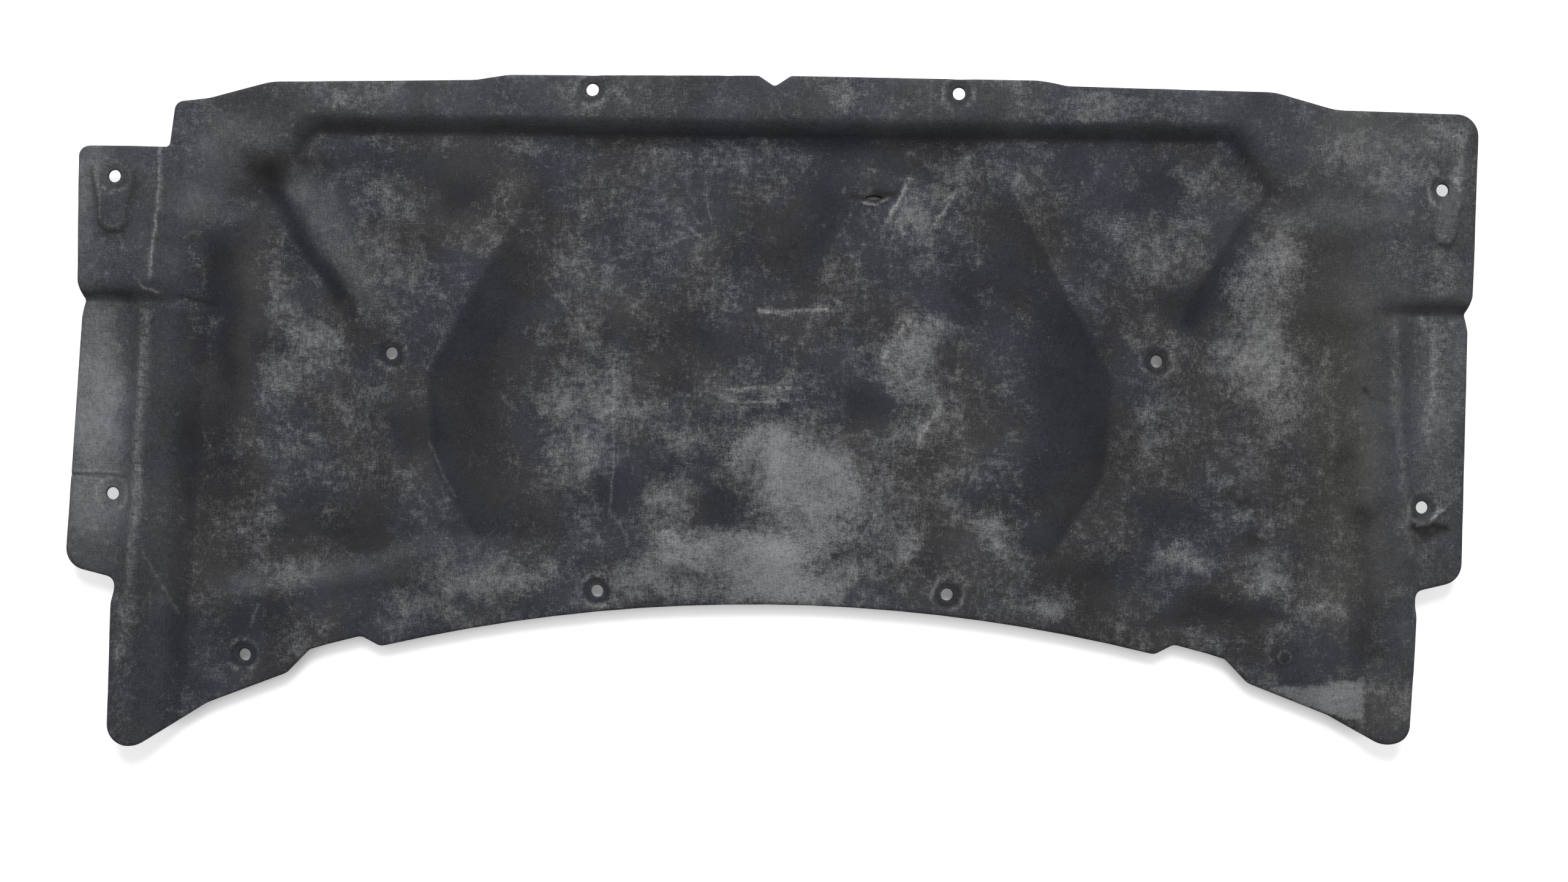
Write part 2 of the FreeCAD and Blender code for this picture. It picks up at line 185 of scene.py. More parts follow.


# Soil, wear, painted shade and painted light, as soft ovals
SOIL_AND_PAINTED_LIGHT: dict[Mark, tuple[Patch, ...]] = {
    Mark.DUST: (
        # Middle bay and its slopes
        Patch(10, -52, 52, 40, 0.65), Patch(50, -80, 40, 36, 0.8), Patch(-15, -20, 45, 30, 0.5),
        Patch(-30, -125, 50, 25, 0.9), Patch(20, -140, 65, 30, 0.75), Patch(-80, -125, 30, 18, 0.6),
        Patch(15, -158, 60, 18, 0.8), Patch(-115, -150, 35, 15, 0.6), Patch(-57, -172, 40, 12, 0.6),
        Patch(-181, -47, 28, 30, 0.45), Patch(-100, -82, 22, 20, 0.85), Patch(124, -115, 22, 18, 0.4),
        Patch(62, -62, 20, 16, 0.3), Patch(-145, 12, 40, 25, 0.5), Patch(-203, 18, 25, 30, 0.45),
        Patch(128, 54, 26, 34, 0.65), Patch(150, 8, 30, 30, 0.45), Patch(156, 166, 35, 30, 0.1),
        Patch(125, 195, 12, 34, 0.3, -20), Patch(169, -64, 45, 30, 0.1), Patch(209, -107, 36, 18, 0.55),
        Patch(-76, 236, 60, 12, 0.15), Patch(-45, -134, 22, 18, 0.5), Patch(-284, 161, 45, 45, 0.15),
        Patch(-316, -185, 45, 16, 0.5), Patch(-244, -162, 45, 14, 0.5), Patch(188, 212, 24, 36, 0.28),
        Patch(-12, 20, 36, 12, 0.25), Patch(-165, 64, 22, 22, 0.5), Patch(-220, -146, 80, 16, 0.4),
        Patch(-120, -168, 40, 12, 0.5), Patch(-75, -28, 26, 16, 0.4), Patch(-290, -150, 40, 16, 0.4),
        Patch(120, -140, 60, 20, 0.2), Patch(249, 203, 22, 22, 0.1), Patch(185, -85, 30, 14, 0.2),
        Patch(267, -182, 18, 8, 0.8),
        # Left rail and slope
        Patch(-460, 100, 18, 24, 0.5), Patch(-463, 30, 26, 30, 0.4), Patch(-420, 60, 30, 26, 0.4),
        Patch(-377, 146, 40, 40, 0.3), Patch(-446, -150, 32, 14, 0.75), Patch(-460, -95, 30, 20, 0.2),
        Patch(-455, -57, 50, 42, 0.1), Patch(-364, 211, 18, 15, 0.45),
        # Right rail and slope
        Patch(459, 126, 28, 50, 0.75), Patch(460, 40, 28, 44, 0.6), Patch(425, -30, 40, 44, 0.1),
        Patch(338, -34, 36, 36, 0.2), Patch(482, 125, 16, 40, 0.25), Patch(340, 140, 40, 30, 0.2),
        Patch(395, -134, 60, 8, 0.4), Patch(462, -148, 22, 18, 0.75), Patch(541, -125, 18, 22, 0.45),
        Patch(540, 250, 44, 14, 0.5),
        # Flange and corners
        Patch(-537, 267, 30, 18, 0.6), Patch(-156, 293, 45, 16, 0.4), Patch(313, 296, 45, 10, 0.6),
        Patch(310, 276, 60, 12, 0.5), Patch(-390, 287, 60, 12, 0.4), Patch(570, 228, 70, 12, 0.45),
        Patch(566, -200, 12, 60, 0.35), Patch(68, 295, 30, 14, 0.35), Patch(630, 265, 28, 12, 0.5),
        Patch(611, 41, 28, 70, 0.25), Patch(622, -60, 20, 24, 0.3), Patch(624, 135, 22, 30, 0.35),
        Patch(520, -255, 45, 10, 0.9), Patch(571, -269, 22, 28, 0.35), Patch(-586, -202, 16, 50, 0.3),
    ),
    Mark.CLEAN: (
        # Middle bay and its slopes
        Patch(-268, -26, 45, 80, 0.25), Patch(280, 2, 45, 95, 0.35), Patch(-254, 61, 45, 45, 0.25),
        Patch(-88, 70, 58, 22, 0.55), Patch(-325, 228, 60, 22, 0.5), Patch(96, 7, 36, 26, 0.7),
        Patch(12, 157, 50, 44, 0.45), Patch(54, 201, 36, 44, 0.4), Patch(192, 116, 44, 30, 0.35),
        Patch(195, -68, 24, 16, 0.3), Patch(96, -135, 14, 12, 0.4), Patch(-52, -82, 22, 18, 0.6),
        Patch(-137, -75, 22, 22, 0.4), Patch(52, -15, 18, 14, 0.4), Patch(152, -131, 20, 14, 0.6),
        Patch(-288, 200, 30, 20, 0.85), Patch(61, -132, 20, 11, 0.5), Patch(105, 240, 36, 12, 0.5),
        Patch(-85, 32, 26, 16, 0.4), Patch(303, -149, 50, 20, 0.5), Patch(100, 212, 26, 16, 0.3),
        Patch(18, 48, 24, 14, 0.3),
        # Left rail and slope
        Patch(-444, -118, 30, 12, 0.4), Patch(-462, 52, 14, 14, 0.4), Patch(-488, -96, 18, 22, 0.3),
        Patch(-430, 152, 16, 30, 0.3), Patch(-497, 35, 22, 60, 0.7), Patch(-500, 90, 24, 80, 0.45),
        Patch(-530, -60, 26, 75, 0.35), Patch(-545, -202, 18, 44, 0.4), Patch(-397, -85, 65, 26, 0.35),
        Patch(-375, -113, 44, 18, 0.3), Patch(-333, -12, 22, 30, 0.5), Patch(-467, -194, 30, 22, 0.5),
        Patch(-381, -160, 60, 14, 0.3),
        # Right rail and slope
        Patch(366, 112, 22, 22, 0.4), Patch(352, 209, 30, 20, 0.4), Patch(366, -188, 30, 10, 0.4),
        Patch(360, -84, 36, 30, 0.5), Patch(394, 104, 28, 26, 0.55), Patch(419, -177, 44, 14, 0.4),
    ),
    Mark.BROWN: (
        # Left rail and slope
        Patch(-488, 60, 14, 120, 0.4), Patch(-470, 150, 20, 40, 0.4),
        # Right rail and slope
        Patch(533, -82, 36, 110, 0.8), Patch(522, 100, 46, 140, 0.75), Patch(430, 20, 50, 60, 0.3),
        # Flange and corners
        Patch(560, 265, 60, 30, 0.4), Patch(571, -269, 30, 30, 0.5),
    ),
    Mark.RUBBED: (
        # Left rail and slope
        # The first is painted light that lifts the shade on the left neck's front wall
        Patch(-515, 190, 50, 14, 0.3), Patch(-500, 243, 40, 20, 0.42),
        Patch(-400, 160, 22, 70, 0.28, 28), Patch(-367, -140, 125, 9, 0.3, 10),
        Patch(-432, 214, 12, 9, 0.35),
        # Right rail and slope
        # Painted light that lifts the shade on the right neck's front wall
        Patch(512, 189, 52, 14, 0.4),
        # Flange and corners
        Patch(-626, 21, 30, 85, 0.7), Patch(-625, -70, 28, 70, 0.55), Patch(-628, 205, 18, 70, 0.6),
        Patch(-600, 222, 16, 16, 0.2), Patch(632, 200, 14, 44, 0.3), Patch(637, 60, 12, 40, 0.3),
        Patch(618, -10, 26, 85, 0.3),
    ),
    Mark.OIL: (
        # Middle bay and its slopes
        # Painted shade in the tear in the middle bay
        Patch(95, 204, 15, 6, 0.8),
        # Left rail and slope
        Patch(-474, 216, 9, 8, 0.55), Patch(-455, 228, 26, 12, 0.5), Patch(-458, 220, 10, 10, 0.7),
        Patch(-420, 228, 15, 8, 0.6), Patch(-369, 172, 8, 12, 0.6),
        # Right rail and slope
        Patch(436, -77, 16, 6.5, 0.6), Patch(458, -111, 16, 4.5, 0.6), Patch(526, -30, 11, 7, 0.5),
        # Flange and corners
        # The first is painted shade in the side tear
        Patch(611, -99, 17, 5, 0.8), Patch(550, -92, 9, 12, 0.45),
    ),
}

# Soil, wear and painted shade with straighter sides
FIELDS: dict[Mark, tuple[Field, ...]] = {
    Mark.DUST: (
        Field(((128, 228), (102, 168), (150, 150), (168, 205)), 0.15, 5.0),
        Field(((116, 98), (106, 60), (150, 40), (165, 95)), 0.25, 6.0),
        Field(((470, -250), (553, -281), (553, -241)), 0.9, 2.5),
    ),
    Mark.CLEAN: (
        # Painted shade in the creases across both side flanges
        Field(((-642, 99), (-552, 99), (-556, 113), (-642, 113)), 1.0, 5.0),
        Field(((556, 99), (648, 99), (648, 113), (566, 113)), 1.0, 5.0),
        Field(((-385, 98), (-362, 104), (-412, 212), (-446, 210)), 0.35, 10.0),
        Field(((-500, -172), (-205, -144), (-205, -130), (-500, -154)), 0.3, 6.0),
        Field(((385, -165), (520, -205), (505, -190), (400, -155)), 0.25, 8.0),
        # Painted shade along the left arm's crest
        Field(((-404, 98), (-394, 104), (-459, 214), (-469, 205)), 1.0, 6.0),
    ),
    Mark.RUBBED: (
        Field(((470, -250), (553, -281), (553, -241)), 0.75, 2.5),
        Field(((-385, 98), (-362, 104), (-412, 212), (-446, 210)), 0.22, 10.0),
        Field(((-500, -172), (-205, -144), (-205, -130), (-500, -154)), 0.2, 6.0),
        Field(((-652, -30), (-612, -30), (-606, 92), (-642, 92)), 0.4, 26.0),
    ),
}

# Light lines where the scrim is scuffed, and painted highlights on the left boss's edge, a crease's edge and
# the lips of the tears
RUB_MARKS_AND_HIGHLIGHTS: tuple[Stroke, ...] = (
    # Painted highlight along the left boss's left edge
    Stroke(((-621, 222), (-619, 208), (-614, 190), (-613, 171)), 1.3, 0.35),
    Stroke(((-565, 246), (-566, 180), (-570, 118)), 1.2, 0.7),
    Stroke(((-573, 85), (-588, -150), (-596, -230)), 4.0, 0.4),
    Stroke(((572, 88), (576, 20), (592, -120)), 3.0, 0.22),
    Stroke(((612, 83), (611, 30), (607, -19)), 4.0, 0.35),
    Stroke(((635, 268), (629, 218)), 4.0, 0.4),
    # Painted highlight on the edge of the crease by the left side hole
    Stroke(((-643, -59), (-620, -58), (-595, -61)), 1.0, 0.3),
    Stroke(((-414, -206), (-409, -200), (-402, -198)), 1.2, 0.35),
    Stroke(((-317, -28), (-304, -58), (-292, -79)), 1.0, 0.2),
    Stroke(((-585, 120), (-576, 111), (-564, 106)), 1.0, 0.35),
    # Painted highlights on the lips of the two tears
    Stroke(((84, 198), (95, 196.5), (107, 201)), 1.3, 0.55),
    Stroke(((600, -94), (612, -91), (624, -80)), 1.8, 0.5),
    Stroke(((128, 223), (108, 181)), 2.0, 0.8),
    Stroke(((173, 209), (150, 175)), 2.0, 0.5),
    Stroke(((125, 88), (109, 56)), 2.0, 0.85),
    Stroke(((156, 9), (142, -19)), 2.0, 0.85),
    Stroke(((-576, -132), (-563, -158), (-545, -188)), 1.2, 0.24),
    Stroke(((-472, -180), (-478, -202)), 1.4, 0.26),
    Stroke(((-13, 97), (52, 98)), 1.6, 0.8),
    Stroke(((-37, 26), (27, 26)), 1.4, 0.6),
    Stroke(((-37, 14), (28, 15)), 1.4, 0.6),
    Stroke(((-61, 207), (-57, 169), (-211, 124), (-160, 62)), 0.8, 0.3),
    Stroke(((-147, 48), (-146, -93), (-130, -118)), 0.9, 0.35),
)

# Welts of the bosses on the two tabs, and the crests between rails and middle bay
LEFT_BOSS: Line = (
    (-624, 222), (-622, 208), (-617, 190), (-616, 171), (-610, 164),
    (-597, 164), (-592, 171), (-590, 190), (-585, 206), (-584, 219),
)
RIGHT_BOSS: Line = (
    (598, 219), (599, 206), (605, 190), (606, 171), (611, 164),
    (622, 164), (628, 171), (630, 190), (634, 206), (635, 222),
)
BOSS_SHADE_DROP = 2.5
BAY_EDGES: tuple[Line, ...] = (
    ((-262, -131), (-311, -52), (-318, 34), (-214, 225), (-208, 262)),
    ((262, -131), (311, -52), (318, 34), (214, 225), (208, 262)),
)

# Painted shade: dark lines in creases, under crests and boss welts, along the top step and in the tears
PAINTED_SHADE_LINES: tuple[Stroke, ...] = (
    Stroke(tuple((x, y - BOSS_SHADE_DROP) for x, y in LEFT_BOSS), 2.6, 0.5),
    Stroke(tuple((x, y - BOSS_SHADE_DROP) for x, y in RIGHT_BOSS), 2.6, 0.4),
    Stroke(((-642, 104), (-575, 104), (-560, 101)), 5.0, 0.55),
    Stroke(((568, 101), (580, 104), (648, 104)), 5.0, 0.55),
    Stroke(((-545, 104), (-516, 95)), 2.0, 0.35),
    Stroke(((546, -85), (552, -140), (560, -215)), 9.0, 0.3),
    Stroke(((549, 30), (553, 22), (566, 18)), 1.8, 0.5),
    Stroke(((423, 264), (459, 214), (456, 203), (409, 142), (392, 112)), 3.2, 0.3),
    Stroke(((-643, -62), (-620, -61), (-595, -64)), 1.2, 0.5),
    Stroke(((594, -98), (603, -100), (614, -96.5), (628, -99)), 3.6, 1.0),
    Stroke(((206, 259), (262, 257), (310, 259)), 6.0, 0.55),
    Stroke(((350, 259), (404, 260)), 5.0, 0.45),
    Stroke(((-410, 261), (-300, 258), (-190, 260)), 6.0, 0.5),
    Stroke(((75, 205), (88, 202), (97, 205), (116, 209)), 2.0, 0.7),
)

# Folds, welts and creases, with how far each rises or sinks
FOLDS: tuple[Stroke, ...] = (
    Stroke(LEFT_BOSS, 2.6, 1.3),
    Stroke(RIGHT_BOSS, 2.6, 1.1),
    Stroke(((-250, 300), (-251, 262)), 6.0, -2.4),
    Stroke(((-262, 300), (-263, 268)), 5.0, 1.2),
    Stroke(((268, 300), (272, 258)), 6.0, -2.4),
    Stroke(((256, 300), (259, 266)), 5.0, 1.2),
    Stroke(((-640, 99), (-552, 99)), 4.0, -1.6),
    Stroke(((646, 99), (560, 99)), 4.0, -1.6),
    Stroke(((-566, 112), (-548, 101), (-516, 95)), 4.0, -1.8),
    Stroke(((-560, 92), (-540, 90)), 4.0, 1.5),
    Stroke(((-568, 200), (-572, 118)), 6.0, 1.6),
    Stroke(((-575, 80), (-590, -230)), 6.0, 1.6),
    Stroke(((568, 200), (572, 118)), 6.0, 1.2),
    Stroke(((575, 80), (590, -230)), 6.0, 1.2),
    Stroke(((-648, -62), (-612, -66)), 1.8, -1.0),
    Stroke(((417, 292), (418, 268)), 1.8, -1.0),
    Stroke(((549, 26), (565, 20)), 3.0, -1.4),
    Stroke(((84, 198), (95, 196.5), (107, 201)), 2.2, 1.3),
    Stroke(((598, -93), (612, -90), (626, -80)), 2.6, 2.2),
    Stroke(((596, -100), (612, -97), (626, -98)), 3.5, -1.5),
)

# Places of the punched clip seats, the unpunched one and the tears
CLIPS: tuple[Point, ...] = (
    (-604.3, 212.3), (616.1, 212.3), (-166.3, 297.0), (171.3, 297.0), (-607.1, -79.6), (604.6, -79.6),
    (-352.2, 53.2), (359.2, 53.2), (-158.7, -165.6), (166.4, -165.6), (-485.6, -228.4),
)
BLIND_SEAT: Point = (480.1, -220.0)
BAY_TEAR: Point = (95.0, 203.5)
SIDE_TEAR: Point = (611.0, -98.5)


class Ring(NamedTuple):
    """A ring of colour round a clip seat, in millimetres."""

    mark: Mark
    radius: float
    half_width: float
    strength: float
    steady: float = 1.0

    def spread(self, plan: np.ndarray, centre: Point) -> np.ndarray:
        """Gives how strong the ring is at each point.

        Args:
            plan: Points in millimetres, one row each.
            centre: The middle of the seat.

        Returns:
            One strength per point, uneven round the ring where it isn't steady.
        """
        dx, dy = plan[:, 0] - centre[0], plan[:, 1] - centre[1]
        round_it = np.sin(2.0 * np.arctan2(dy, dx) + centre[0])
        uneven = self.steady + (1.0 - self.steady) * round_it
        away = (np.hypot(dx, dy) - self.radius) / self.half_width
        return self.strength * uneven * np.exp(-(away ** 2))


# Round each clip seat: a lighter, uneven rim, and painted shade in the seat's dish and at the hole's edge
CLIP_RINGS: tuple[Ring, ...] = (
    Ring(Mark.SCUFF, 14.5, 1.6, 0.6, 0.55), Ring(Mark.CLEAN, 10.15, 3.0, 0.7), Ring(Mark.OIL, 5.7, 1.3, 0.4),
)
# Round the blind seat: a lighter lip and a darker middle
BLIND_RINGS: tuple[Ring, ...] = (Ring(Mark.SCUFF, 5.7, 1.1, 0.3), Ring(Mark.CLEAN, 0.0, 9.12, 0.5))


class Nodes:
    """A short hand for wiring one material's nodes."""

    def __init__(self, tree: bpy.types.NodeTree) -> None:
        """Starts from an empty tree.

        Args:
            tree: The node tree to fill.
        """
        self.tree = tree
        tree.nodes.clear()

    def add(
        self,
        kind: str,
        inputs: Optional[dict[Union[str, int], Union[Socket, float, Colour, Paint]]] = None,
        **settings: Union[str, int],
    ) -> bpy.types.Node:
        """Adds a node, sets it up and wires its inputs.

        Args:
            kind: The node's type name.
            inputs: Values or output sockets by input name or number.
            **settings: Attributes to set on the node.

        Returns:
            The new node.
        """
        node = self.tree.nodes.new(kind)
        for name, value in settings.items():
            setattr(node, name, value)
        for name, value in (inputs or {}).items():
            if isinstance(value, Socket):
                self.tree.links.new(value, node.inputs[name])
            else:
                node.inputs[name].default_value = value
        return node

    def weighted(self, *terms: tuple[Socket, float]) -> Socket:
        """Adds sockets up, each times its own weight.

        Args:
            *terms: Socket and weight pairs.

        Returns:
            The socket that carries the sum.
        """
        total: Union[Socket, float] = 0.0
        for socket, weight in terms:
            inputs = {0: socket, 1: weight, 2: total}
            total = self.add("ShaderNodeMath", inputs, operation="MULTIPLY_ADD").outputs[0]
        return total

    def times(self, a: Socket, b: Union[Socket, float]) -> Socket:
        """Multiplies two values.

        Args:
            a: A socket.
            b: A socket or number.

        Returns:
            The socket that carries the product.
        """
        return self.add("ShaderNodeMath", {0: a, 1: b}, operation="MULTIPLY").outputs[0]

    def ramp(self, value: Socket, low: float, high: float, to: Point = (0.0, 1.0)) -> Socket:
        """Eases a value from one range to another.

        Args:
            value: The socket to read.
            low: Where the ease starts.
            high: Where it ends.
            to: What it goes from and to.

        Returns:
            The eased socket.
        """
        inputs = {"Value": value, "From Min": low, "From Max": high, "To Min": to[0], "To Max": to[1]}
        return self.add("ShaderNodeMapRange", inputs, interpolation_type="SMOOTHSTEP").outputs[0]

    def blend(self, amount: Socket, under: Union[Socket, Paint], over: Union[Socket, Paint]) -> Socket:
        """Lays one colour over another.

        Args:
            amount: How much of the upper colour shows.
            under: The lower colour or socket.
            over: The upper colour or socket.

        Returns:
            The blended colour's socket.
        """
        inputs = {"Factor": amount, 6: under, 7: over}
        return self.add("ShaderNodeMix", inputs, data_type="RGBA").outputs[2]

    def grain(self, coords: Socket, scale: float, detail: float, stretch: Scale = (1.0, 1.0, 1.0)) -> Socket:
        """Adds stretched noise.

        Args:
            coords: The coordinates to read.
            scale: Lumps to the metre.
            detail: How many finer layers it holds.
            stretch: The coordinates' scale along each axis.

        Returns:
            The noise value's socket.
        """
        mapping = self.add("ShaderNodeMapping", {"Vector": coords, "Scale": stretch})
        inputs = {"Vector": mapping.outputs[0], "Scale": scale}
        inputs |= {"Detail": detail, "Roughness": GRAIN_ROUGHNESS}
        return self.add("ShaderNodeTexNoise", inputs).outputs["Fac"]


def opaque(colour: Colour) -> Paint:
    """Adds the alpha a colour socket wants.

    Args:
        colour: Red, green and blue.

    Returns:
        The colour with full alpha.
    """
    return (*colour, 1.0)


@dataclass(frozen=True)
class ScrimFinish:
    """Charcoal scrim over felt, with grey dust caught in its threads, and with painted shade, painted
    highlights and painted light among its marks.

    Each grain, from threads to depth, is given as its lumps to the metre and its finer layers.
    """

    name: str = "scrim_felt"
    cool: Colour = (0.040, 0.042, 0.053)
    olive: Colour = (0.043, 0.043, 0.044)
    # Dust-free felt; also the colour of painted shade on slopes, in creases and in the clip seats
    clean: Colour = (0.012, 0.013, 0.018)
    dust: Colour = (0.213, 0.217, 0.221)
    brown_dust: Colour = (0.196, 0.191, 0.170)
    brown: Colour = (0.070, 0.068, 0.060)
    # Pale, abraded scrim; also painted light that lifts the shade on the necks' front walls
    rubbed: Colour = (0.183, 0.191, 0.199)
    # Oil stains; also painted shade in creases, under crests and welts, along the top step and in the tears
    oil: Colour = (0.018, 0.017, 0.017)
    # Scuffed scrim; also painted highlights on a boss's edge, a crease's edge and the tears' lips
    scuff: Colour = (0.314, 0.314, 0.314)
    threads: Point = (700.0, 2.0)
    thread_length: float = 0.28
    nap: Point = (1000.0, 2.0)
    mottle: Point = (210.0, 4.0)
    fleck_length: float = 0.55
    blotch: Point = (75.0, 3.0)
    cloud: Point = (24.0, 5.0)
    hue: Point = (9.0, 3.0)
    depth: Point = (15.0, 4.0)
    caught_weights: tuple[float, ...] = (1.35, -1.1, 2.4, 1.5, 3.2, 1.7, 1.6)
    caught_range: Point = (4.9, 7.05)
    dust_most: float = 0.95
    clean_and_shade_cover: float = 0.75
    brown_cover: float = 0.75
    brown_dust_cover: float = 0.9
    hue_range: Point = (0.36, 0.64)
    rub_and_light_weights: Point = (1.0, 0.5)
    rub_and_light_range: Point = (0.45, 1.0)
    rub_and_light_least: float = 0.5
    scuff_and_highlight_weights: Point = (0.8, 0.8)
    scuff_and_highlight_range: Point = (0.55, 1.0)
    shade_weights: Scale = (0.8, 0.9, 0.9)
    shade_range: Point = (0.95, 1.65)
    shade_to: Point = (0.56, 1.34)
    roughness: Point = (0.86, 0.97)
    specular: float = 0.12
    sheen: float = 0.03
    sheen_roughness: float = 0.6
    relief_weights: Scale = (1.0, 0.6, 0.8)
    bump: float = 0.55
    relief: float = 0.5 * MM

    def material(self) -> bpy.types.Material:
        """Wires the finish.

        Returns:
            The finished material.
        """
        made = bpy.data.materials.new(self.name)
        made.use_nodes = True
        n = Nodes(made.node_tree)
        coords = n.add("ShaderNodeTexCoord").outputs["Object"]
        soil = n.add("ShaderNodeSeparateColor", {0: self._attribute(n, "soil")})
        dust, clean, brown = soil.outputs[:3]
        wear = n.add("ShaderNodeSeparateColor", {0: self._attribute(n, "wear")})
        rubbed, oil, scuff = wear.outputs[:3]
        weft = n.grain(coords, *self.threads, (self.thread_length, 1.0, 1.0))
        warp = n.grain(coords, *self.threads, (1.0, self.thread_length, 1.0))
        weave = n.weighted((weft, 0.5), (warp, 0.5))
        nap = n.grain(coords, *self.nap)
        flecks = n.grain(coords, *self.mottle, (self.fleck_length, 1.0, 1.0))
        flakes = n.grain(coords, *self.mottle, (1.0, self.fleck_length, 1.0))
        mottle = n.weighted((flecks, 0.5), (flakes, 0.5))
        blotch = n.grain(coords, *self.blotch)
        cloud = n.grain(coords, *self.cloud)
        depth = n.grain(coords, *self.depth)

        catching = (dust, clean, cloud, blotch, mottle, weave, nap)
        caught = n.weighted(*zip(catching, self.caught_weights))
        dusty = n.ramp(caught, *self.caught_range, (0.0, self.dust_most))
        hue = n.ramp(n.grain(coords, *self.hue), *self.hue_range)
        cloth = n.blend(hue, opaque(self.cool), opaque(self.olive))
        cloth = n.blend(n.times(clean, self.clean_and_shade_cover), cloth, opaque(self.clean))
        cloth = n.blend(n.times(brown, self.brown_cover), cloth, opaque(self.brown))
        settled = n.blend(n.times(brown, self.brown_dust_cover), opaque(self.dust), opaque(self.brown_dust))
        colour = n.blend(dusty, cloth, settled)
        rub_and_light_breakup = n.weighted(*zip((mottle, weave), self.rub_and_light_weights))
        rub_and_light_mask = n.ramp(rub_and_light_breakup, *self.rub_and_light_range, (self.rub_and_light_least, 1.0))
        colour = n.blend(n.times(rubbed, rub_and_light_mask), colour, opaque(self.rubbed))
        colour = n.blend(oil, colour, opaque(self.oil))
        broken = n.ramp(n.weighted(*zip((mottle, weave), self.scuff_and_highlight_weights)), *self.scuff_and_highlight_range)
        colour = n.blend(n.times(scuff, broken), colour, opaque(self.scuff))
        hollows = n.weighted(*zip((weave, nap, depth), self.shade_weights))
        shade = n.ramp(hollows, *self.shade_range, self.shade_to)
        inputs = {"Factor": 1.0, 6: colour, 7: shade}
        tinted = n.add("ShaderNodeMix", inputs, data_type="RGBA", blend_type="MULTIPLY").outputs[2]

        height = n.weighted(*zip((weave, nap, mottle), self.relief_weights))
        inputs = {"Strength": self.bump, "Distance": self.relief, "Height": height}
        inputs = {
            "Base Color": tinted,
            "Roughness": n.ramp(dusty, 0.0, 1.0, self.roughness),
            "Specular IOR Level": self.specular,
            "Sheen Weight": self.sheen,
            "Sheen Roughness": self.sheen_roughness,
            "Normal": n.add("ShaderNodeBump", inputs).outputs[0],
        }
        felt = n.add("ShaderNodeBsdfPrincipled", inputs)
        n.add("ShaderNodeOutputMaterial", {"Surface": felt.outputs[0]})
        return made

    @staticmethod
    def _attribute(n: Nodes, name: str) -> Socket:
        """Reads one of the pad's colour attributes.

        Args:
            n: The material's nodes.
            name: The attribute's name.

        Returns:
            Its colour socket.
        """
        return n.add("ShaderNodeAttribute", attribute_name=name).outputs["Color"]


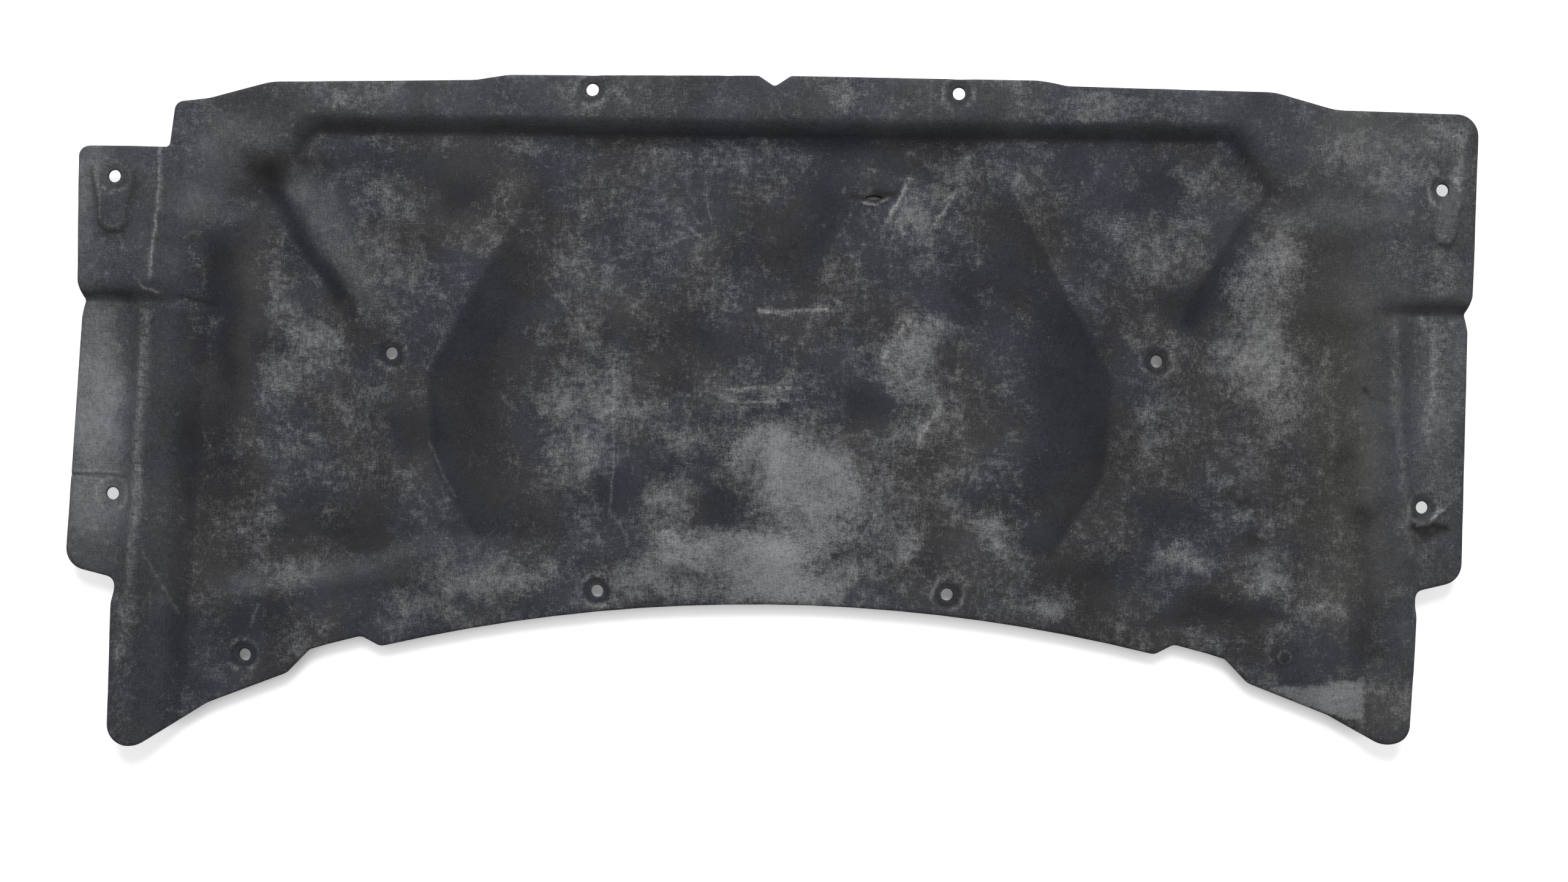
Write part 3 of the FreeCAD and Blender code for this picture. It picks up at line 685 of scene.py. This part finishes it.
@dataclass
class FeltPad:
    """The pad itself: one pressed sheet of felt, cut to shape and punched for its clips."""

    node: bpy.types.Object
    finish: ScrimFinish
    cell: float = 4.8 * MM
    rim_band: float = 5.0 * MM
    seat_band: float = 22.0 * MM
    hole_band: float = 9.0 * MM
    tear_band: float = 16.0 * MM
    line_band: float = 4.0
    fine_share: float = 0.7
    facing_up: float = 0.3
    spot_share: float = 0.4
    soften: float = 0.5
    soft_rounds: int = 4
    neck_rounds: int = 80
    neck_low: Point = (440.0 * MM, 140.0 * MM)
    neck_high: Point = (585.0 * MM, 262.0 * MM)
    slope_full: float = 0.006
    flange_from: float = 20.0 * MM
    flange_blend: float = 4.0 * MM
    flange_clean: float = 0.22
    flange_rubbed: float = 0.16
    # Painted shade on the flange-level walls that don't face the soft box, at the sides and at the front
    outer_wall_shade: float = 0.3
    front_wall_shade: float = 1.0
    # Darkening of the bay's slopes at their foot and towards their crest: partly dust-free felt, partly
    # painted shade
    foot_darkening: float = 0.05
    crest_darkening: float = 0.6
    rail_top: float = 17.0 * MM
    level_slack: float = 0.5 * MM
    bay_top: float = 8.0 * MM
    arm_from: float = 330.0 * MM
    arm_shade_y: float = 85.0 * MM
    fade_from: float = 140.0 * MM
    fade_over: float = 80.0 * MM
    faded: float = 0.7
    torn_half: Point = (22.0 * MM, 11.5 * MM)
    beside_tear: float = 14.5 * MM
    wander: float = 16.0
    wander_length: float = 60.0 * MM
    wander_seed: int = 7
    fray: float = 5.0
    fray_length: float = 14.0 * MM
    line_fray: float = 0.3
    ring_fray: float = 0.1
    cast_from: float = 1.0
    wall_lean: float = 0.05
    edge_reach: float = 3.0
    edge_halvings: int = 12
    edge_pulls: tuple[float, ...] = (0.0, 0.02, 0.1, 0.3, 1.0)
    thinnest: float = 2.6 * MM
    edge_roll: float = 0.7 * MM
    sway: float = 0.7 * MM
    sway_length: float = 85.0 * MM
    sway_layers: int = 3
    sway_fade: float = 1.0
    sway_step: float = 2.0
    lump: float = 0.25 * MM
    lump_length: float = 22.0 * MM
    solid: BVHTree = field(init=False, repr=False)
    walls: BVHTree = field(init=False, repr=False)

    def build(self) -> bpy.types.Object:
        """Presses, cuts and thickens the sheet.

        Returns:
            The finished pad.
        """
        shape = joined_mesh(self.node)
        self.solid = BVHTree.FromBMesh(shape)
        sloped = [f for f in shape.faces if abs(f.normal.z) > self.wall_lean]
        bmesh.ops.delete(shape, geom=sloped, context="FACES")
        self.walls = BVHTree.FromBMesh(shape)
        shape.free()
        bm = bmesh.new()
        self._lay_blank(bm)
        self._cut(bm)
        self._press(bm)
        self._thicken(bm)
        self._fold(bm)
        many_sided = [f for f in bm.faces if len(f.verts) > 4]
        bmesh.ops.triangulate(bm, faces=many_sided, ngon_method="BEAUTY")
        bmesh.ops.dissolve_degenerate(bm, dist=FLAT_WITHIN, edges=bm.edges)
        bmesh.ops.recalc_face_normals(bm, faces=bm.faces)
        for face in bm.faces:
            face.smooth = True
        mesh = bpy.data.meshes.new("pressed_felt")
        bm.to_mesh(mesh)
        bm.free()
        pad = bpy.data.objects.new("pressed_felt_pad", mesh)
        bpy.context.scene.collection.objects.link(pad)
        LOG.info("%s: %d faces", pad.name, len(mesh.polygons))
        return pad

    def dress(self, pad: bpy.types.Object) -> None:
        """Gives the pad its dirt, stains, rub marks, painted shade, painted highlights, painted light and
        finish.

        Args:
            pad: The built pad.
        """
        mesh = pad.data
        where = point_rows(mesh, "co")
        plan = where[:, :2] / MM
        noise.seed_set(self.wander_seed)
        ragged = plan + np.array([self._drift(Vector(p)) for p in where])
        unsteady = ragged * self.line_fray + plan * (1.0 - self.line_fray)
        layers = {mark: np.zeros(len(where)) for mark in Mark}
        for mark, patches in SOIL_AND_PAINTED_LIGHT.items():
            for patch in patches:
                layers[mark] += patch.spread(ragged)
        for mark, edged in FIELDS.items():
            for patch in edged:
                layers[mark] += patch.spread(unsteady)
        for stroke in RUB_MARKS_AND_HIGHLIGHTS:
            layers[Mark.SCUFF] = np.maximum(layers[Mark.SCUFF], stroke.spread(unsteady))
        # The painted shade lines take the dark oil colour
        for stroke in PAINTED_SHADE_LINES:
            layers[Mark.OIL] += stroke.spread(plan)
        # Painted shade on slopes that don't face the soft box, partly dust-free felt on the bay's slopes
        layers[Mark.CLEAN] += self._swept_and_shaded(where)
        flange = np.clip((where[:, 2] - self.flange_from) / self.flange_blend, 0.0, 1.0)
        layers[Mark.CLEAN] += self.flange_clean * flange
        layers[Mark.RUBBED] += self.flange_rubbed * flange
        seats = ragged * self.ring_fray + plan * (1.0 - self.ring_fray)
        for ring in CLIP_RINGS:
            for clip in CLIPS:
                layers[ring.mark] += ring.spread(seats, clip)
        for ring in BLIND_RINGS:
            layers[ring.mark] += ring.spread(seats, BLIND_SEAT)
        self._store(mesh, layers)
        mesh.materials.append(self.finish.material())

    @staticmethod
    def _store(mesh: bpy.types.Mesh, layers: dict[Mark, np.ndarray]) -> None:
        """Keeps the marks of the upper face as the mesh's colour attributes.

        Args:
            mesh: The pad's mesh.
            layers: One value per point for each mark.
        """
        upper = point_rows(mesh, "normal")[:, 2] > 0.0
        for name in sorted({mark.value[0] for mark in Mark}):
            packed = np.zeros((len(upper), 4), dtype=np.float32)
            packed[:, 3] = 1.0
            for mark, layer in layers.items():
                if mark.value[0] == name:
                    packed[:, mark.value[1]] = np.clip(layer, 0.0, 1.0) * upper
            attribute = mesh.attributes.new(name, "FLOAT_COLOR", "POINT")
            attribute.data.foreach_set("color", packed.ravel())

    def _swept_and_shaded(self, where: np.ndarray) -> np.ndarray:
        """Gives how much darker each point is painted on slopes, most of all just under a crest: painted
        shade and dust-free felt.

        Args:
            where: The pad's points, in metres.

        Returns:
            One value per point.
        """
        swept = np.zeros(len(where))
        spots = self._spots()
        for index, (x, y, _) in enumerate(where):
            for dx, dy in spots:
                hit, normal = self.solid.ray_cast(Vector((x + dx, y + dy, self.cast_from)), DOWN)[:2]
                if hit is not None:
                    swept[index] += self._slide_and_shade(hit, normal)
        return swept / len(spots)

    def _slide_and_shade(self, place: Vector, normal: Vector) -> float:
        """Gives how much darker one slope is painted: painted shade and dust-free felt, none facing the soft
        box.

        Args:
            place: A point on it.
            normal: Which way it faces.

        Returns:
            From 0, where dust stays, to 1.
        """
        steep = min((1.0 - normal.z) / self.slope_full, 1.0)
        # Slopes that face the soft box get no painted shade
        if normal.y > abs(normal.x):
            return 0.0
        if abs(place.x) > self.arm_from and place.y < self.arm_shade_y and place.z <= self.rail_top:
            return 0.0
        # Walls at the flange's level: painted shade
        if place.z > self.rail_top + self.level_slack:
            sideways = abs(place.x) > self.neck_low[0]
            return steep * (self.outer_wall_shade if sideways else self.front_wall_shade)
        # The bay's slopes: partly dust-free felt, partly painted shade
        climb = min(max((place.z - self.bay_top) / (self.rail_top - self.bay_top), 0.0), 1.0)
        forward = min(max((place.y - self.fade_from) / self.fade_over, 0.0), 1.0)
        kept = self.foot_darkening + self.crest_darkening * climb
        return steep * kept * (1.0 - self.faded * forward)

    def _drift(self, point: Vector) -> Point:
        """Wanders a point a little, so that soil has ragged edges.

        Args:
            point: A place on the pad, in metres.

        Returns:
            How far to move it, in millimetres.
        """
        wide = noise.noise_vector(point / self.wander_length) * self.wander
        fine = noise.noise_vector(point / self.fray_length) * self.fray
        return (wide.x + fine.x, wide.y + fine.y)

    def _top(self, x: float, y: float) -> Optional[float]:
        """Finds the pad's upper face.

        Args:
            x: Across, in metres.
            y: Along, in metres.

        Returns:
            Its height, or nothing where there is no felt.
        """
        hit = self.solid.ray_cast(Vector((x, y, self.cast_from)), DOWN)[0]
        return None if hit is None else hit.z

    def _under(self, x: float, y: float) -> Optional[float]:
        """Finds the pad's under face.

        Args:
            x: Across, in metres.
            y: Along, in metres.

        Returns:
            Its height, or nothing where there is no felt.
        """
        hit = self.solid.ray_cast(Vector((x, y, -self.cast_from)), UP)[0]
        return None if hit is None else hit.z

    def _lay_blank(self, bm: BMesh) -> None:
        """Lays a flat grid over the whole pad, finer at its clip seats, tears and rim.

        Args:
            bm: The mesh to fill.
        """
        low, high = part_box(PAD_NODE)
        span, centre = high - low, (low + high) / 2
        columns = math.ceil(span.x / self.cell) + 2
        rows = math.ceil(span.y / self.cell) + 2
        bmesh.ops.create_grid(bm, x_segments=columns, y_segments=rows, size=0.5)
        bmesh.ops.scale(bm, vec=(columns * self.cell, rows * self.cell, 1.0), verts=bm.verts)
        bmesh.ops.translate(bm, vec=(centre.x, centre.y, 0.0), verts=bm.verts)
        seats = [Vector((x * MM, y * MM, 0.0)) for x, y in (*CLIPS, BLIND_SEAT)]
        tears = [Vector((x * MM, y * MM, 0.0)) for x, y in (BAY_TEAR, SIDE_TEAR)]
        self._refine(bm, [f for f in bm.faces if self._near_rim(f)])
        coarse = [f for f in bm.faces if f.calc_area() > self.cell ** 2 / 2]
        self._refine(bm, [f for f in coarse if nearest(f, seats) < self.seat_band])
        holed = {f for f in bm.faces if nearest(f, seats) < self.hole_band}
        torn = {f for f in bm.faces if nearest(f, tears) < self.tear_band}
        self._refine(bm, [f for f in bm.faces if f in holed or f in torn])

    def _near_rim(self, face: BMFace) -> bool:
        """Says whether a cut edge runs near a face.

        Args:
            face: A face of the blank.

        Returns:
            True where some of the felt round it is missing and some is there.
        """
        c = face.calc_center_median()
        steps = (-self.rim_band, 0.0, self.rim_band)
        found = {self._top(c.x + dx, c.y + dy) is not None for dx in steps for dy in steps}
        return len(found) == 2

    @staticmethod
    def _refine(bm: BMesh, faces: list[BMFace]) -> None:
        """Halves the cells of some faces.

        Args:
            bm: The mesh.
            faces: The faces to divide.
        """
        edges = list({e for f in faces for e in f.edges})
        bmesh.ops.subdivide_edges(bm, edges=edges, cuts=1, use_grid_fill=True, use_single_edge=True)

    def _cut(self, bm: BMesh) -> None:
        """Cuts the blank to the outline and its holes, and draws the cut edges up to them.

        Args:
            bm: The blank.
        """
        waste = []
        for face in bm.faces:
            c = face.calc_center_median()
            if self._top(c.x, c.y) is None and not self._at_side_tear(c):
                waste.append(face)
        bmesh.ops.delete(bm, geom=waste, context="FACES")
        moves: list[tuple[BMVert, Vector]] = []
        for vert in bm.verts:
            if vert.is_boundary and vert.link_faces:
                moves.append((vert, self._edge_point(middle_of(vert), vert.co)))
        for vert, place in moves:
            vert.co = place

    def _edge_point(self, inside: Vector, start: Vector) -> Vector:
        """Finds where the felt ends on the way out from a point.

        Args:
            inside: A point on the felt.
            start: A point near the edge, in the direction to look.

        Returns:
            The last point that is still on the felt.
        """
        way = (start - inside) * self.edge_reach
        near, far = 0.0, 1.0
        for _ in range(self.edge_halvings):
            middle = (near + far) / 2
            place = inside + way * middle
            if self._top(place.x, place.y) is None:
                far = middle
            else:
                near = middle
        edge = inside + way * near
        edge.z = self._top(edge.x, edge.y) or 0.0
        wall = self.walls.find_nearest(edge - UP * MM, self.cell)[0]
        return Vector((edge.x, edge.y, 0.0)) if wall is None else Vector((wall.x, wall.y, 0.0))

    def _press(self, bm: BMesh) -> None:
        """Presses the sheet into its relief, with bends as soft as felt makes them.

        Args:
            bm: The cut sheet, flat until now.
        """
        below = bm.verts.layers.float.new("below")
        necks = [v for v in bm.verts if self._at_neck(v.co)]
        for side, height_at in ((below, self._under), (None, self._top)):
            for vert in bm.verts:
                vert.co.z = self._reach(vert, height_at)
            for _ in range(self.soft_rounds):
                bmesh.ops.smooth_vert(bm, verts=bm.verts, factor=self.soften, use_axis_z=True)
            for _ in range(self.neck_rounds):
                bmesh.ops.smooth_vert(bm, verts=necks, factor=self.soften, use_axis_z=True)
            if side is not None:
                for vert in bm.verts:
                    vert[side] = max(vert.co.z, 0.0)
        for vert in bm.verts:
            flat = vert.co.copy()
            flat.z = 0.0
            swaying = flat / self.sway_length
            vert.co.z += self.sway * noise.fractal(swaying, self.sway_fade, self.sway_step, self.sway_layers)
            vert.co.z += self.lump * noise.noise(flat / self.lump_length)
            vert[below] = min(vert[below], vert.co.z - self.thinnest)
            if vert[below] < 0.0:
                vert.co.z -= vert[below]
                vert[below] = 0.0

    def _spots(self) -> list[tuple[float, float]]:
        """Lists the places round a point over which its height is averaged.

        Returns:
            Nine steps across and along.
        """
        step = self.cell * self.spot_share
        return [(dx, dy) for dx in (-step, 0.0, step) for dy in (-step, 0.0, step)]

    def _at_neck(self, place: Vector) -> bool:
        """Says whether a point is at one of the tray's two front corners, which bend softly.

        Args:
            place: The point.

        Returns:
            True at a corner.
        """
        across = self.neck_low[0] < abs(place.x) < self.neck_high[0]
        return across and self.neck_low[1] < place.y < self.neck_high[1]

    def _at_side_tear(self, place: Vector) -> bool:
        """Says whether a point is in the tear beside the side hole, whose slit is closed with felt painted
        dark as painted shade.

        Args:
            place: The point.

        Returns:
            True in the tear.
        """
        x, y = SIDE_TEAR
        return abs(place.x - x * MM) < self.torn_half[0] and abs(place.y - y * MM) < self.torn_half[1]

    def _reach(self, vert: BMVert, height_at: HeightAt) -> float:
        """Reads a height at a point, or just inside it on a cut edge.

        Args:
            vert: The point.
            height_at: The face to read.

        Returns:
            The height there.
        """
        if self._at_side_tear(vert.co) and height_at(vert.co.x, vert.co.y) is None:
            return height_at(vert.co.x, SIDE_TEAR[1] * MM - self.beside_tear) or 0.0
        if not vert.is_boundary:
            heights = [height_at(vert.co.x + dx, vert.co.y + dy) for dx, dy in self._spots()]
            found = [h for h in heights if h is not None]
            if len(found) == len(heights):
                return sum(found) / len(found)
        for pull in self.edge_pulls:
            place = vert.co.lerp(middle_of(vert), pull)
            height = height_at(place.x, place.y)
            if height is not None:
                return height
        return 0.0

    def _thicken(self, bm: BMesh) -> None:
        """Gives the sheet its under face and its cut edges.

        Args:
            bm: The pressed sheet.
        """
        below = bm.verts.layers.float["below"]
        sheet = list(bm.faces)
        rim = [v for v in bm.verts if v.is_boundary]
        for vert in rim:
            vert.co.z -= self.edge_roll
        made = bmesh.ops.extrude_face_region(bm, geom=sheet, use_keep_orig=True)
        raised = {g for g in made["geom"] if isinstance(g, BMVert)}
        for vert in bm.verts:
            if vert not in raised:
                vert.co.z = vert[below]
        bmesh.ops.reverse_faces(bm, faces=sheet)

    def _refine_along(self, bm: BMesh, lines: list[Line], band: float) -> None:
        """Halves the cells of the upper face along some lines.

        Args:
            bm: The mesh.
            lines: The lines, in millimetres.
            band: How far to each side, in millimetres.
        """
        upper = [f for f in bm.faces if f.normal.z > self.facing_up]
        centres = np.array([f.calc_center_median()[:2] for f in upper]) / MM
        close = np.full(len(upper), False)
        for points in lines:
            close |= distance_to(points, centres) < band
        self._refine(bm, [f for f, hit in zip(upper, close) if hit])

    def _fold(self, bm: BMesh) -> None:
        """Works the folds and welts into the upper face, with finer cells along them, the rub marks, the
        painted shade lines and the bay's edges.

        Args:
            bm: The thickened pad.
        """
        bmesh.ops.recalc_face_normals(bm, faces=bm.faces)
        strokes = (*FOLDS, *RUB_MARKS_AND_HIGHLIGHTS, *PAINTED_SHADE_LINES)
        fine = [s.points for s in strokes if s.half_width < self.line_band * self.fine_share]
        self._refine_along(bm, [*fine, *BAY_EDGES], self.line_band)
        self._refine_along(bm, fine, self.line_band / 2)
        upper_verts = [v for v in bm.verts if any(g.normal.z > self.facing_up for g in (v, *v.link_faces))]
        plan = np.array([v.co[:2] for v in upper_verts]) / MM
        rise = np.zeros(len(upper_verts))
        for stroke in FOLDS:
            rise += stroke.spread(plan)
        for vert, height in zip(upper_verts, rise):
            vert.co.z += height * MM


def point_rows(mesh: bpy.types.Mesh, what: str) -> np.ndarray:
    """Reads a vector of each of a mesh's points.

    Args:
        mesh: The mesh.
        what: The vector's name.

    Returns:
        One row per point.
    """
    flat = np.empty(len(mesh.vertices) * 3)
    mesh.vertices.foreach_get(what, flat)
    return flat.reshape(-1, 3)


def middle_of(vert: BMVert) -> Vector:
    """Finds the middle of the faces round a point.

    Args:
        vert: The point.

    Returns:
        The mean of their centres.
    """
    return sum((f.calc_center_median() for f in vert.link_faces), Vector()) / len(vert.link_faces)


def joined_mesh(node: bpy.types.Object) -> BMesh:
    """Reads a node's mesh as one joined surface.

    Args:
        node: The node to read.

    Returns:
        Its mesh, with doubled points merged.
    """
    bm = bmesh.new()
    bm.from_mesh(node.data)
    bmesh.ops.remove_doubles(bm, verts=bm.verts, dist=JOIN_WITHIN)
    bmesh.ops.triangulate(bm, faces=bm.faces)
    return bm


def nearest(face: BMFace, places: list[Vector]) -> float:
    """Measures how far a face is from the nearest of some places.

    Args:
        face: The face.
        places: The places, on the floor.

    Returns:
        The distance in plan.
    """
    centre = face.calc_center_median()
    return min((centre - p).length for p in places)


@dataclass
class Studio:
    """A pale floor, soft light from the pad's front edge, and a camera straight above."""

    camera_at: tuple[float, float, float] = (0.0135, -0.0245, 1.4375)
    camera_roll: float = 0.62
    lens: float = 35.16
    sensor: float = 36.0
    floor_half: float = 40.0
    floor_drop: float = 0.2 * MM
    floor_tone: float = 0.86
    floor_glow: float = 0.6
    open_within: float = 18.0 * MM
    open_power: float = 2.0
    open_samples: int = 8
    sky: float = 0.32
    backdrop: float = 0.97
    key_at: tuple[float, float, float] = (0.0, 2.0, 2.2)
    key_size: float = 1.6
    key_power: float = 80.0

    def build(self) -> None:
        """Sets up the floor, the lights and the camera."""
        self._floor()
        self._light()
        self._camera()
        bpy.context.scene.view_settings.view_transform = "Standard"

    def _floor(self) -> None:
        """Lays the floor."""
        bm = bmesh.new()
        bmesh.ops.create_grid(bm, x_segments=1, y_segments=1, size=self.floor_half)
        bmesh.ops.translate(bm, vec=(0.0, 0.0, -self.floor_drop), verts=bm.verts)
        mesh = bpy.data.meshes.new("floor")
        bm.to_mesh(mesh)
        bm.free()
        floor = bpy.data.objects.new("floor", mesh)
        bpy.context.scene.collection.objects.link(floor)
        made = bpy.data.materials.new("pale_floor")
        made.use_nodes = True
        n = Nodes(made.node_tree)
        # The glow fades where the pad is close above or beside the floor: a painted shadow under and round
        # it
        inputs = {"Distance": self.open_within}
        around = n.add("ShaderNodeAmbientOcclusion", inputs, samples=self.open_samples).outputs["AO"]
        openness = n.add("ShaderNodeMath", {0: around, 1: self.open_power}, operation="POWER").outputs[0]
        matt = n.add("ShaderNodeBsdfDiffuse", {"Color": opaque((self.floor_tone,) * 3)})
        strength = n.times(n.times(self._seen(n), openness), self.floor_glow)
        glow = n.add("ShaderNodeEmission", {"Strength": strength})
        both = n.add("ShaderNodeAddShader", {0: matt.outputs[0], 1: glow.outputs[0]})
        n.add("ShaderNodeOutputMaterial", {"Surface": both.outputs[0]})
        mesh.materials.append(made)

    @staticmethod
    def _seen(n: Nodes) -> Socket:
        """Tells what is looked at, also in a mirror or through glass, from what only gives light.

        Args:
            n: The material's nodes.

        Returns:
            A socket that is 1 where it is looked at.
        """
        path = n.add("ShaderNodeLightPath")
        rays = ("Is Camera Ray", "Is Glossy Ray", "Is Transmission Ray")
        return n.weighted(*((path.outputs[ray], 1.0) for ray in rays))

    def _light(self) -> None:
        """Hangs the soft light and fills the room."""
        world = bpy.data.worlds.new("room")
        world.use_nodes = True
        n = Nodes(world.node_tree)
        level = n.ramp(self._seen(n), 0.0, 1.0, (self.sky, self.backdrop))
        room = n.add("ShaderNodeBackground", {"Color": (1.0, 1.0, 1.0, 1.0), "Strength": level})
        n.add("ShaderNodeOutputWorld", {"Surface": room.outputs[0]})
        bpy.context.scene.world = world
        lamp = bpy.data.lights.new("soft_box", "AREA")
        lamp.shape = "DISK"
        lamp.size = self.key_size
        lamp.energy = self.key_power
        hung = bpy.data.objects.new("soft_box", lamp)
        hung.location = self.key_at
        hung.rotation_euler = (-Vector(self.key_at)).to_track_quat("-Z", "Y").to_euler()
        bpy.context.scene.collection.objects.link(hung)

    def _camera(self) -> None:
        """Sets the camera above the pad."""
        data = bpy.data.cameras.new("overhead")
        data.lens = self.lens
        data.sensor_width = self.sensor
        camera = bpy.data.objects.new("overhead", data)
        camera.location = self.camera_at
        camera.rotation_euler = (0.0, 0.0, math.radians(self.camera_roll))
        bpy.context.scene.collection.objects.link(camera)
        bpy.context.scene.camera = camera


def main() -> None:
    """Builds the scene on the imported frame."""
    logging.basicConfig(level=logging.INFO)
    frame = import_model()
    Studio().build()
    maker = FeltPad(frame["nodes"][PAD_NODE], ScrimFinish())
    pad = maker.build()
    maker.dress(pad)
    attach(pad, "root")
    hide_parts(PAD_NODE)


if __name__ == "__main__":
    main()
